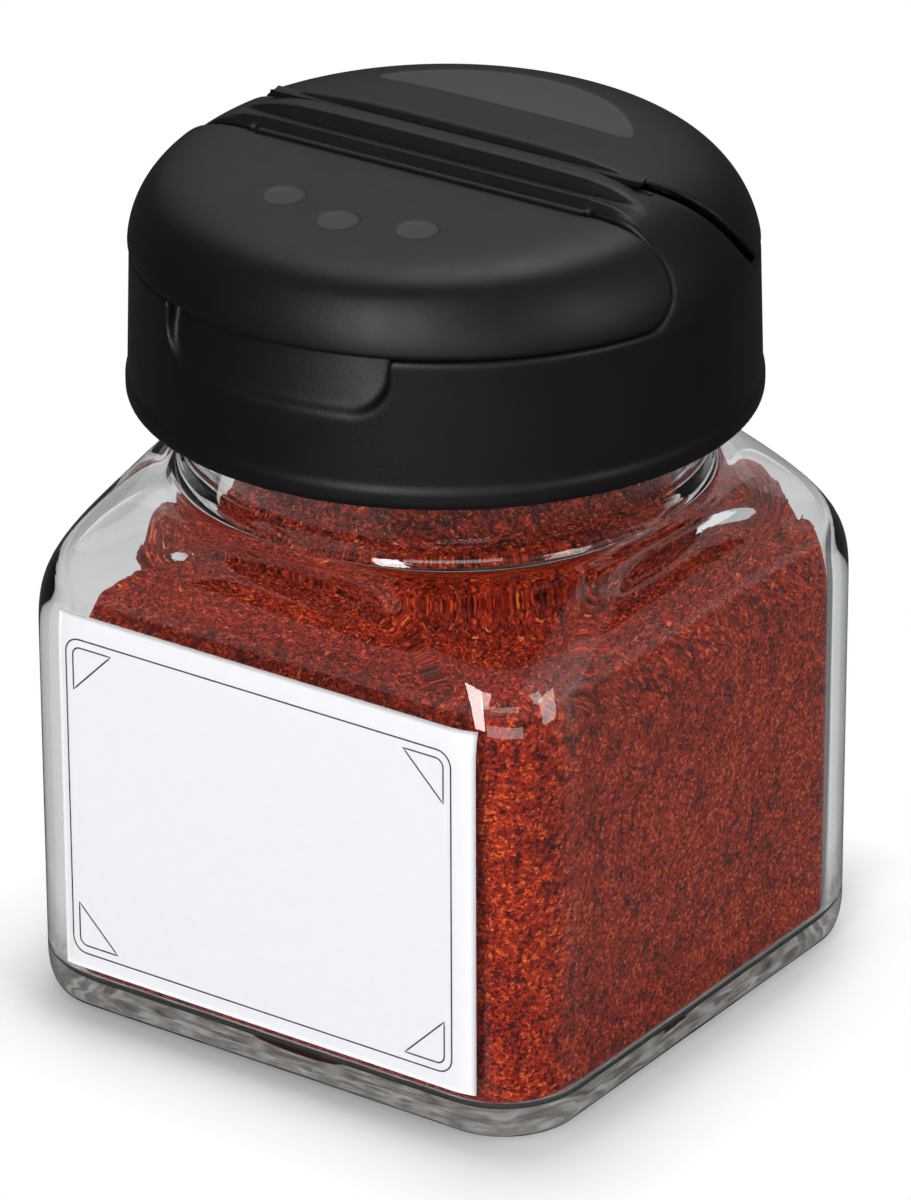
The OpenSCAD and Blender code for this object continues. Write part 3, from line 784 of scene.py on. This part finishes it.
def cap_shell():
    field = Field((-25.4, -25.4, CAP_RIM_Z - 0.6), (25.4, 25.4, DECK_TOP + DOME_H + 0.6), 0.2)
    x, y, z, r = field.x, field.y, field.z, field.r
    band_r = CAP_R + BAND_OUT
    band_z = CAP_RIM_Z + BAND_H
    skirt = field.revolve(
        [(band_r - CAP_WALL, CAP_RIM_Z), (band_r - 0.35, CAP_RIM_Z), (band_r - 0.1, CAP_RIM_Z + 0.1),
         (band_r, CAP_RIM_Z + 0.35), (band_r, band_z - 0.35), (CAP_R + 0.02, band_z - 0.1),
         (SKIRT_TOP_R + 0.01, DECK_TOP - 0.15), (SKIRT_TOP_R - 0.12, DECK_TOP),
         (SKIRT_TOP_R - CAP_WALL - 0.1, DECK_TOP), (CAP_R - CAP_WALL, band_z)]
    )
    deck = np.maximum(r - SKIRT_TOP_R + 0.3, np.maximum(DECK_LOW - z, z - DECK_TOP))
    angles = np.arctan2(y, x)
    thread = thread_share(angles[:, :, 0][:, :, None], z, NECK_THREAD_Z + LEAD / 2, 0.3)
    inner = COLLAR_R - (COLLAR_R - CAP_THREAD_R) * thread
    collar = np.maximum(np.maximum(inner - r, r - COLLAR_R - COLLAR_WALL),
                        np.maximum(DECK_LOW - COLLAR_H - z, z - DECK_TOP))
    backing = np.maximum(
        np.maximum(np.maximum(r - SKIRT_TOP_R + 0.3, COLLAR_R + 0.5 - r), np.abs(x) - NOTCH_W / 2 - 1.6),
        np.maximum(np.maximum(y + 5, DECK_TOP - NOTCH_H - 1.6 - z), z - DECK_TOP),
    )
    bridge = both(field.revolve(dome_outline(LID_OVER)), field.along_x(bridge_outline()), 0.5)
    rooms = np.maximum(
        field.revolve(dome_outline(LID_OVER + CAP_WALL + 0.2)),
        np.maximum(DECK_TOP - z, -np.maximum(FRONT_HINGE_Y + FILM_GAP - y, y - REAR_HINGE_Y + FILM_GAP) + 0 * x),
    )
    bridge = cut(bridge, rooms)
    body = either(either(either(skirt, deck, 0.4), either(collar, deck, 0.5)), either(bridge, backing))
    holes = pour_shape(field, 0)
    for px, py in SHAKE_PLACES:
        holes = either(holes, np.hypot(x - px, y - py) - SHAKE_R)
    body = cut(body, np.maximum(holes, np.maximum(DECK_LOW - 1 - z, z - DECK_TOP - 1)), 0.3)
    core = np.maximum(
        np.maximum(r - BORE_R + 2.0, np.maximum(FRONT_HINGE_Y + CAP_WALL - y, y - REAR_HINGE_Y + CAP_WALL)),
        z - DECK_LOW - FRONT_FLAT_H,
    )
    body = cut(body, core)
    over = np.maximum(np.abs(x) - NOTCH_W / 2 + NOTCH_R, 0)
    under = np.maximum(DECK_TOP - NOTCH_H + NOTCH_R - z, 0)
    window = np.hypot(over, under) - NOTCH_R
    floor_r = SKIRT_TOP_R - NOTCH_FOOT_D - (NOTCH_TOP_D - NOTCH_FOOT_D) * (z - DECK_TOP + NOTCH_H) / NOTCH_H
    notch = both(np.maximum(window, y + 5), floor_r - r, 0.8)
    body = cut(body, notch, 0.45)
    body = cut(body, hinge_holes(field))
    return field.piece("cap_shell", field.soften(body, 1))


def front_lid_shell():
    field = Field((-25.2, -25.2, DECK_TOP - 0.9), (25.2, -2.4, DECK_TOP + FRONT_FLAT_H + 1), 0.16)
    x, y, z, r = field.x, field.y, field.z, field.r
    outside = both(field.revolve(roll_outline(0)), field.along_x(front_plane(0)), 1.6)
    inside = both(field.revolve(roll_outline(CAP_WALL)), field.along_x(front_plane(CAP_WALL)), 1.6)
    top = DECK_TOP + 12
    edge = front_edge(1)
    region = field.along_x([(-30, LID_LOW)] + edge + [(edge[-1][0], top), (-30, top)])
    shell = both(cut(outside, inside), region, 0.25)
    for px, py in SHAKE_PLACES:
        peg = np.maximum(np.hypot(x - px, y - py) - SHAKE_R + PLUG_GAP, DECK_TOP - PLUG_DIP - z)
        shell = either(shell, both(peg, outside + CAP_WALL / 2, 0.2), 0.3)
        mark = np.maximum(np.hypot(x - px, y - py) - MARK_R, -outside - MARK_D)
        shell = cut(shell, mark)
    shell = cut(shell, hinge_holes(field))
    return field.piece("front_lid_shell", field.soften(shell, 1))


def pad_distance(x, y):
    """Distance to the finger pad's outline on the rear lid, with its two corners rounded."""
    rounding = 1.2
    return both(np.hypot(x, y - 1) - PAD_R, PAD_Y - y, 2 * rounding)


def rear_lid_shell():
    field = Field((-25.2, 0.6, DECK_TOP - 0.9), (25.2, 25.2, DECK_TOP + DOME_H + 0.5), 0.17)
    x, y, z, r = field.x, field.y, field.z, field.r
    outside = field.revolve(dome_outline(0))
    inside = field.revolve(dome_outline(CAP_WALL))
    top = DECK_TOP + 12
    region = field.along_x(
        rear_edge(1) + [(30, LID_LOW), (30, top), (REAR_HINGE_Y + 3, top), (REAR_HINGE_Y + 1, DECK_TOP + 9.2),
                        (REAR_HINGE_Y + FILM_GAP, DECK_TOP + REAR_HINGE_H)]
    )
    shell = both(cut(outside, inside), region, 0.25)
    plug = cut(pour_shape(field, PLUG_GAP), pour_shape(field, PLUG_GAP + PLUG_WALL))
    plug = np.maximum(np.maximum(plug, DECK_TOP - PLUG_DIP - z), outside + 0.5)
    shell = either(shell, plug, 0.3)
    shell = cut(shell, np.maximum(pad_distance(x, y), -outside - MARK_D))
    shell = cut(shell, hinge_holes(field))
    return field.piece("rear_lid_shell", field.soften(shell, 1))


def hinge_strip(name, half, y, z):
    """A thin living hinge, a shallow V across the slit between a lid and the bridge."""
    xs = np.linspace(-half, half, 40)
    section = [(-0.55, -0.05), (-0.2, -0.14), (0, -0.2), (0.2, -0.14), (0.55, -0.05),
               (0.55, -0.45), (0.2, -0.48), (0, -0.5), (-0.2, -0.48), (-0.55, -0.45)]
    n = len(section)
    points = [(x, y + dy, z + dz) for x in xs for dy, dz in section]
    faces = [[i * n + k, i * n + (k + 1) % n, (i + 1) * n + (k + 1) % n, (i + 1) * n + k]
             for i in range(len(xs) - 1) for k in range(n)]
    faces += [list(range(n))[::-1], [len(points) - n + k for k in range(n)]]
    return mesh_object(name, points, faces, smooth=False)


# Materials


class Nodes:
    """A new material's nodes, with short calls to add and join them."""

    def __init__(self, name):
        self.material = bpy.data.materials.new(name)
        self.material.use_nodes = True
        self.tree = self.material.node_tree
        self.tree.nodes.clear()
        self.output = self.tree.nodes.new("ShaderNodeOutputMaterial")

    def add(self, kind, inputs=None, **settings):
        node = self.tree.nodes.new("ShaderNode" + kind)
        for key, value in settings.items():
            setattr(node, key, value)
        for key, value in (inputs or {}).items():
            self.put(node.inputs[key], value)
        return node

    def put(self, socket, value):
        if isinstance(value, bpy.types.NodeSocket):
            self.tree.links.new(value, socket)
        else:
            socket.default_value = value

    def math(self, operation, a, b=0.0, clamp=False):
        return self.add("Math", {0: a, 1: b}, operation=operation, use_clamp=clamp).outputs[0]

    def place(self):
        """Place on the piece, in metres."""
        return self.add("TexCoord").outputs["Object"]

    def noise(self, scale, detail=2.0, roughness=0.5, vector=None):
        inputs = {"Scale": scale, "Detail": detail, "Roughness": roughness, "Vector": vector or self.place()}
        return self.add("TexNoise", inputs).outputs["Fac"]

    def colors(self, fac, stops, interpolation="LINEAR"):
        node = self.add("ValToRGB", {"Fac": fac})
        ramp_ = node.color_ramp
        ramp_.interpolation = interpolation
        while len(ramp_.elements) < len(stops):
            ramp_.elements.new(0.5)
        for element, (position, color) in zip(ramp_.elements, stops):
            element.position = position
            element.color = (*color, 1)
        return node.outputs["Color"]

    def between(self, value, low, high, to_low=0.0, to_high=1.0):
        inputs = {"Value": value, "From Min": low, "From Max": high, "To Min": to_low, "To Max": to_high}
        return self.add("MapRange", inputs).outputs["Result"]

    def bump(self, height, distance, strength=1.0, normal=None):
        inputs = {"Height": height, "Distance": distance, "Strength": strength}
        if normal is not None:
            inputs["Normal"] = normal
        return self.add("Bump", inputs).outputs["Normal"]

    def finish(self, shader):
        self.tree.links.new(shader.outputs[0], self.output.inputs["Surface"])
        return self.material


def glass_material():
    n = Nodes("clear_glass")
    waves = n.bump(n.noise(90.0, 1.0), 0.00012, 0.35)
    # The tint turns darker and grey-green towards grazing edges: painted shade for the dark surroundings that the
    # glass's edges show.
    facing = n.add("LayerWeight", {"Blend": 0.35}).outputs["Facing"]
    color = n.colors(facing, ((0.0, (0.97, 0.975, 0.98)), (0.6, (0.93, 0.945, 0.945)), (1.0, (0.62, 0.66, 0.655))))
    glass = n.add("BsdfPrincipled", {
        "Base Color": color, "Roughness": 0.008, "IOR": 1.48, "Specular Tint": (0.95, 0.95, 0.95, 1),
        "Transmission Weight": 1.0, "Normal": waves,
    })
    clear = n.add("BsdfTransparent", {"Color": (0.82, 0.83, 0.83, 1)})
    shadow = n.add("LightPath").outputs["Is Shadow Ray"]
    mixed = n.add("MixShader", {0: shadow, 1: glass.outputs[0], 2: clear.outputs[0]})
    depth = n.add("VolumeAbsorption", {"Color": (0.62, 0.68, 0.67, 1), "Density": 38.0})
    n.tree.links.new(depth.outputs[0], n.output.inputs["Volume"])
    return n.finish(mixed)


SPICE_STOPS = (
    (0.0, (0.032, 0.002, 0.001)), (0.2, (0.135, 0.006, 0.002)), (0.5, (0.255, 0.013, 0.003)),
    (0.75, (0.37, 0.025, 0.004)), (0.92, (0.50, 0.050, 0.008)), (1.0, (0.64, 0.13, 0.022)),
)


def spice_material():
    n = Nodes("ground_spice")
    warp = n.add("TexNoise", {"Scale": 900.0, "Detail": 1.0, "Vector": n.place()}).outputs["Color"]
    place = n.add("VectorMath", {0: n.place(), 1: n.add(
        "VectorMath", {0: warp, "Scale": 0.0002}, operation="SCALE").outputs[0]}).outputs[0]
    cells = n.add("TexVoronoi", {"Scale": 3900.0, "Vector": place})
    fine = n.add("TexVoronoi", {"Scale": 8000.0, "Vector": place})
    tone = n.add("SeparateColor", {0: cells.outputs["Color"]}).outputs[0]
    small = n.add("SeparateColor", {0: fine.outputs["Color"]}).outputs[1]
    mixed = n.between(n.math("ADD", n.math("MULTIPLY", tone, 0.6), n.math("MULTIPLY", small, 0.4)), 0.12, 0.88)
    patches = n.between(n.noise(160.0, 3.0), 0.3, 0.7, -0.13, 0.07)
    # Darker in the creases between crumbs: painted shade.
    crease_shade = n.between(n.add("Attribute", attribute_name="crease_shade").outputs["Fac"], 0.02, 0.25, -0.45, 0.05)
    color = n.colors(n.math("ADD", n.math("ADD", mixed, patches), crease_shade, clamp=True), SPICE_STOPS)
    grain = n.math("ADD", cells.outputs["Distance"], fine.outputs["Distance"])
    bump = n.bump(n.noise(1500.0, 4.0, 0.7), 0.0005, 0.8, n.bump(grain, 0.0003, 0.7))
    return n.finish(n.add("BsdfPrincipled", {
        "Base Color": color, "Roughness": 0.75, "Specular IOR Level": 0.08, "Normal": bump,
    }))


def flake_material():
    n = Nodes("spice_flake")
    tone = n.add("Attribute", attribute_name="tone").outputs["Fac"]
    color = n.colors(tone, SPICE_STOPS)
    bump = n.bump(n.noise(4000.0, 2.0), 0.0001, 0.6)
    return n.finish(n.add("BsdfPrincipled", {
        "Base Color": color, "Roughness": 0.6, "Specular IOR Level": 0.15, "Normal": bump,
    }))


def paper_material():
    n = Nodes("label_paper")
    fibre = n.noise(2500.0, 5.0, 0.65)
    color = n.colors(n.noise(600.0, 4.0), ((0.3, (0.84, 0.84, 0.875)), (0.7, (0.86, 0.86, 0.89))))
    return n.finish(n.add("BsdfPrincipled", {
        "Base Color": color, "Roughness": 0.7, "Specular IOR Level": 0.25, "Normal": n.bump(fibre, 0.00003, 0.25),
    }))


def ink_material():
    n = Nodes("label_ink")
    color = n.colors(n.noise(3000.0, 3.0), ((0.3, (0.02, 0.03, 0.035)), (0.7, (0.05, 0.06, 0.065))))
    return n.finish(n.add("BsdfPrincipled", {"Base Color": color, "Roughness": 0.6}))


def plastic_material(name, marks=None, tone=0.032):
    """Black moulded plastic with a fine grain, and marks(nodes, x, y) for smoother greyer places."""
    n = Nodes(name)
    grain = n.bump(n.noise(5200.0, 3.0, 0.6), 0.00004, 0.35)
    soft = n.bump(n.noise(220.0, 2.0), 0.0001, 0.12, grain)
    cloud = n.noise(70.0, 3.0)
    color = n.colors(cloud, ((0.3, (0.0028, 0.0025, 0.0031)), (0.7, (0.0040, 0.0037, 0.0043))))
    roughness = n.between(n.noise(420.0, 3.0), 0.3, 0.7, 0.43, 0.48)
    if marks:
        place = n.add("SeparateXYZ", {0: n.place()})
        mask = marks(n, place.outputs[0], place.outputs[1])
        color = n.add("MixRGB", {0: mask, 1: color, 2: (tone, tone, 0.97 * tone, 1)}).outputs[0]
        roughness = n.add("MixRGB", {0: mask, 1: roughness, 2: (0.55, 0.55, 0.55, 1)}).outputs[0]
    return n.finish(n.add("BsdfPrincipled", {
        "Base Color": color, "Roughness": roughness, "Specular IOR Level": 0.24, "Normal": soft,
    }))


EDGE_SOFT = 0.05 * MM


def round_marks(n, x, y):
    """1 inside the three round marks of the front lid."""
    best = None
    for px, py in SHAKE_PLACES:
        dx = n.math("SUBTRACT", x, px * MM)
        dy = n.math("SUBTRACT", y, py * MM)
        distance = n.math("SQRT", n.math("ADD", n.math("MULTIPLY", dx, dx), n.math("MULTIPLY", dy, dy)))
        inside = n.between(distance, MARK_R * MM - EDGE_SOFT, MARK_R * MM + EDGE_SOFT, 1.0, 0.0)
        best = inside if best is None else n.math("MAXIMUM", best, inside)
    return best


def pad_mark(n, x, y):
    """1 inside the finger pad of the rear lid."""
    dy = n.math("SUBTRACT", y, 1 * MM)
    distance = n.math("SQRT", n.math("ADD", n.math("MULTIPLY", x, x), n.math("MULTIPLY", dy, dy)))
    side = n.math("SUBTRACT", distance, PAD_R * MM)
    front = n.math("SUBTRACT", PAD_Y * MM, y)
    signed = n.add("Math", {0: side, 1: front, 2: 2.4 * MM}, operation="SMOOTH_MAX").outputs[0]
    return n.between(signed, -EDGE_SOFT, EDGE_SOFT, 1.0, 0.0)


def liner_material():
    n = Nodes("liner_foam")
    color = n.colors(n.noise(900.0, 4.0), ((0.3, (0.62, 0.62, 0.59)), (0.7, (0.70, 0.70, 0.67))))
    bump = n.bump(n.noise(2200.0, 4.0, 0.7), 0.00006, 0.5)
    return n.finish(n.add("BsdfPrincipled", {"Base Color": color, "Roughness": 0.8, "Normal": bump}))


FLOOR_NEAR = 0.001
FLOOR_FAR = 0.011
FOOT_HALF = 0.02
FOOT_R = 0.005
# Under the jar the floor glows for rays through the glass, in painted light and dark streaks: painted light for the
# glass foot.
UNDER_GLOW = 0.62
PAINTED_STREAK_STOPS = (
    (0.3, (0.12, 0.10, 0.09)), (0.45, (0.36, 0.31, 0.28)), (0.55, (0.66, 0.61, 0.58)), (0.66, (1.0, 0.97, 0.95)),
)
FLOOR_Z = 0.03


def seen_shares(tree, glossy, through, inside):
    """How far rays see the white ground: from the camera and mirrored, through glass, and turned inside glass."""
    path = tree.nodes.new("ShaderNodeLightPath")

    def math_node(operation, a, b, c=None):
        node = tree.nodes.new("ShaderNodeMath")
        node.operation = operation
        for socket, value in zip(node.inputs, (a, b, c)):
            if isinstance(value, bpy.types.NodeSocket):
                tree.links.new(value, socket)
            elif value is not None:
                socket.default_value = value
        return node.outputs[0]

    straight = math_node("LESS_THAN", path.outputs["Glossy Depth"], 0.5)
    bent = math_node("MULTIPLY", math_node("SUBTRACT", 1.0, straight), inside)
    share = math_node("MULTIPLY_ADD", straight, through, bent)
    glass = math_node("MULTIPLY", path.outputs["Is Transmission Ray"], share)
    direct = math_node("MULTIPLY_ADD", path.outputs["Is Glossy Ray"], glossy, path.outputs["Is Camera Ray"])
    return direct, glass


def stage_material(name):
    """A floor that is dark to the light but white to the rays that see it, and glows into the white ground afar; near
    the jar its colour holds a painted contact shadow, and under the jar it glows in painted light and dark streaks for
    rays through the glass.
    """
    n = Nodes(name)
    distance = n.add("VectorMath", {0: n.place()}, operation="LENGTH").outputs["Value"]
    beside = n.between(n.add("SeparateXYZ", {0: n.place()}).outputs[0], 0.022, 0.027, 0.5, 0.04)
    turned = n.math("MAXIMUM", n.between(distance, 0.1, 0.16, 0.0, 0.5), beside)
    direct, glass = seen_shares(n.tree, 0.02, 0.55, turned)
    seen = n.math("ADD", direct, glass, clamp=True)
    grain = n.noise(12.0, 2.0)
    dark = n.colors(grain, ((0.0, (0.055, 0.055, 0.055)), (1.0, (0.06, 0.06, 0.06))))
    light = n.colors(grain, ((0.0, (0.89, 0.89, 0.89)), (1.0, (0.90, 0.90, 0.90))))
    # Near the jar the floor's colour darkens with its ambient occlusion: a painted contact shadow.
    closeness = n.add("AmbientOcclusion", {"Distance": 0.009}, samples=12).outputs["AO"]
    painted_contact_shadow = n.between(closeness, 0.3, 0.9, 0.52, 1.0)
    light = n.add("MixRGB", {0: painted_contact_shadow, 1: dark, 2: light}).outputs[0]
    color = n.add("MixRGB", {0: seen, 1: dark, 2: light}).outputs[0]
    white = n.add("BsdfDiffuse", {"Color": color})
    outward = n.add("VectorMath", {0: n.place()}, operation="ABSOLUTE").outputs[0]
    outward = n.add("VectorMath", {0: outward, 1: (FOOT_HALF, FOOT_HALF, 0)}, operation="SUBTRACT").outputs[0]
    outward = n.add("VectorMath", {0: outward, 1: (0, 0, 0)}, operation="MAXIMUM").outputs[0]
    outward = n.add("VectorMath", {0: outward}, operation="LENGTH").outputs["Value"]
    afar = n.between(outward, FOOT_R + FLOOR_NEAR, FOOT_R + FLOOR_FAR)
    under = n.between(afar, 0.0, 1.0, UNDER_GLOW, 1.0)
    split = n.add("SeparateXYZ", {0: n.add("VectorMath", {0: n.place()}, operation="ABSOLUTE").outputs[0]})
    across = n.math("MAXIMUM", split.outputs[0], split.outputs[1])
    beside = n.math("MINIMUM", split.outputs[0], split.outputs[1])
    lines = n.add("CombineXYZ", {0: n.math("MULTIPLY", across, 5.0), 1: beside}).outputs[0]
    # Painted light and dark streaks, glowing under the jar for rays that come through the glass foot.
    painted_streaks = n.colors(n.noise(330.0, 4.0, 0.6, lines), PAINTED_STREAK_STOPS)
    plain = n.math("MAXIMUM", afar, direct)
    glow = n.add("Emission", {"Color": n.add("MixRGB", {0: plain, 1: painted_streaks, 2: (1, 1, 1, 1)}).outputs[0]})
    share = n.math("ADD", n.math("MULTIPLY", direct, afar), n.math("MULTIPLY", glass, under), clamp=True)
    return n.finish(n.add("MixShader", {0: share, 1: white.outputs[0], 2: glow.outputs[0]}))


def give(piece, material):
    piece.data.materials.clear()
    piece.data.materials.append(material)


# Stage, light and camera


def make_floor():
    half = 3000.0
    points = [(x, y, FLOOR_Z) for x, y in ((-half, -half), (half, -half), (half, half), (-half, half))]
    floor = mesh_object("floor", points, [[0, 1, 2, 3]], smooth=False)
    give(floor, stage_material("floor_white"))


WORLD_LEVEL = 0.07


def make_world():
    world = bpy.data.worlds.new("studio")
    bpy.context.scene.world = world
    world.use_nodes = True
    tree = world.node_tree
    tree.nodes.clear()
    lit = tree.nodes.new("ShaderNodeBackground")
    lit.inputs["Strength"].default_value = WORLD_LEVEL
    seen = tree.nodes.new("ShaderNodeBackground")
    seen.inputs["Strength"].default_value = 1.0
    for node in (lit, seen):
        node.inputs["Color"].default_value = (1, 1, 1, 1)
    mix = tree.nodes.new("ShaderNodeMixShader")
    direct, glass = seen_shares(tree, 0.02, 0.55, 0.5)
    both_shares = tree.nodes.new("ShaderNodeMath")
    tree.links.new(direct, both_shares.inputs[0])
    tree.links.new(glass, both_shares.inputs[1])
    tree.links.new(both_shares.outputs[0], mix.inputs[0])
    tree.links.new(lit.outputs[0], mix.inputs[1])
    tree.links.new(seen.outputs[0], mix.inputs[2])
    output = tree.nodes.new("ShaderNodeOutputWorld")
    tree.links.new(mix.outputs[0], output.inputs["Surface"])


def softbox(name, azimuth, elevation, distance, size, level):
    """A rectangular lamp round the jar, whose level is the share of a white surface's brightness that it gives."""
    a, e = math.radians(azimuth), math.radians(elevation)
    towards = Vector((math.sin(a) * math.cos(e), -math.cos(a) * math.cos(e), math.sin(e)))
    data = bpy.data.lights.new(name, "AREA")
    data.shape = "RECTANGLE"
    data.size, data.size_y = size
    data.energy = level * (math.pi * distance) ** 2
    lamp = bpy.data.objects.new(name, data)
    lamp.location = Vector((0, 0, 0.035)) + towards * distance
    lamp.rotation_euler = towards.to_track_quat("Z", "Y").to_euler()
    bpy.context.collection.objects.link(lamp)
    return lamp


def make_lights():
    softbox("left_box", 11, 25, 1.1, (0.22, 0.9), 1.02)
    softbox("right_box", 88, 21, 1.1, (0.3, 0.6), 0.3)
    softbox("right_tent", 112, 35, 1.1, (1.2, 1.1), 0.14)
    softbox("front_tent", 38, 4, 1.1, (0.8, 0.3), 0.25)
    softbox("top_box", 205, 62, 1.2, (0.6, 0.5), 0.42)
    softbox("back_tent", 215, 30, 1.2, (1.4, 0.6), 0.09)


def make_camera():
    a, e, roll = (math.radians(v) for v in (CAMERA_AZIMUTH, CAMERA_ELEVATION, CAMERA_ROLL))
    back = Vector((math.sin(a) * math.cos(e), -math.cos(a) * math.cos(e), math.sin(e)))
    right = Vector((math.cos(a), math.sin(a), 0))
    up = back.cross(right)
    right, up = right * math.cos(roll) + up * math.sin(roll), up * math.cos(roll) - right * math.sin(roll)
    data = bpy.data.cameras.new("camera")
    data.sensor_width = SENSOR
    data.lens = SENSOR * FOCAL_PX / FRAME_H
    data.shift_x = (FRAME_W / 2 - PRINCIPAL_PX[0]) / FRAME_H
    data.shift_y = -(FRAME_H / 2 - PRINCIPAL_PX[1]) / FRAME_H
    data.clip_start, data.clip_end = 0.01, 20
    camera = bpy.data.objects.new("camera", data)
    place = back * (CAMERA_DISTANCE * MM) + Vector((0, 0, CAMERA_TARGET_Z * MM))
    camera.matrix_world = Matrix((
        (right.x, up.x, back.x, place.x), (right.y, up.y, back.y, place.y),
        (right.z, up.z, back.z, place.z), (0, 0, 0, 1),
    ))
    bpy.context.collection.objects.link(camera)
    bpy.context.scene.camera = camera


def dress(piece, body, slot, material, *nodes):
    """Gives a piece its material and its body, and hides the nodes it stands for; the slot is not used."""
    give(piece, material)
    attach(piece, body)
    if nodes:
        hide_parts(*nodes)


def make_object():
    dress(glass_shell(), "jar", "clear_glass", glass_material(), "glass_jar")
    dress(spice_body(), "jar", "ground_spice", spice_material(), "spice_fill")
    dress(spice_flakes(), "jar", "ground_spice", flake_material())
    dress(label_sheet(), "jar", "label_paper", paper_material(), "front_label")
    dress(label_print(), "jar", "label_paper", ink_material())
    dress(cap_shell(), "cap", "black_plastic", plastic_material("black_plastic"), "cap_body")
    dress(front_lid_shell(), "front_flap", "black_plastic",
          plastic_material("front_lid_plastic", round_marks), "front_lid")
    dress(rear_lid_shell(), "rear_flap", "black_plastic",
          plastic_material("rear_lid_plastic", pad_mark, 0.045), "rear_lid")
    hinge_plastic = plastic_material("hinge_plastic")
    for name, lid, half, y, height in (
        ("front", "front_flap", FRONT_HINGE_HALF, FRONT_HINGE_Y, FRONT_FLAT_H),
        ("rear", "rear_flap", REAR_HINGE_HALF, REAR_HINGE_Y, REAR_HINGE_H),
    ):
        strip = hinge_strip(name + "_hinge_strip", half, y, DECK_TOP + height)
        give(strip, hinge_plastic)
        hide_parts(name + "_hinge_film")
        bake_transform(strip)
    give(bpy.data.objects["seal_liner"], liner_material())


view = bpy.context.scene.view_settings
view.view_transform = "Standard"
make_camera()
make_floor()
make_world()
make_lights()
make_object()
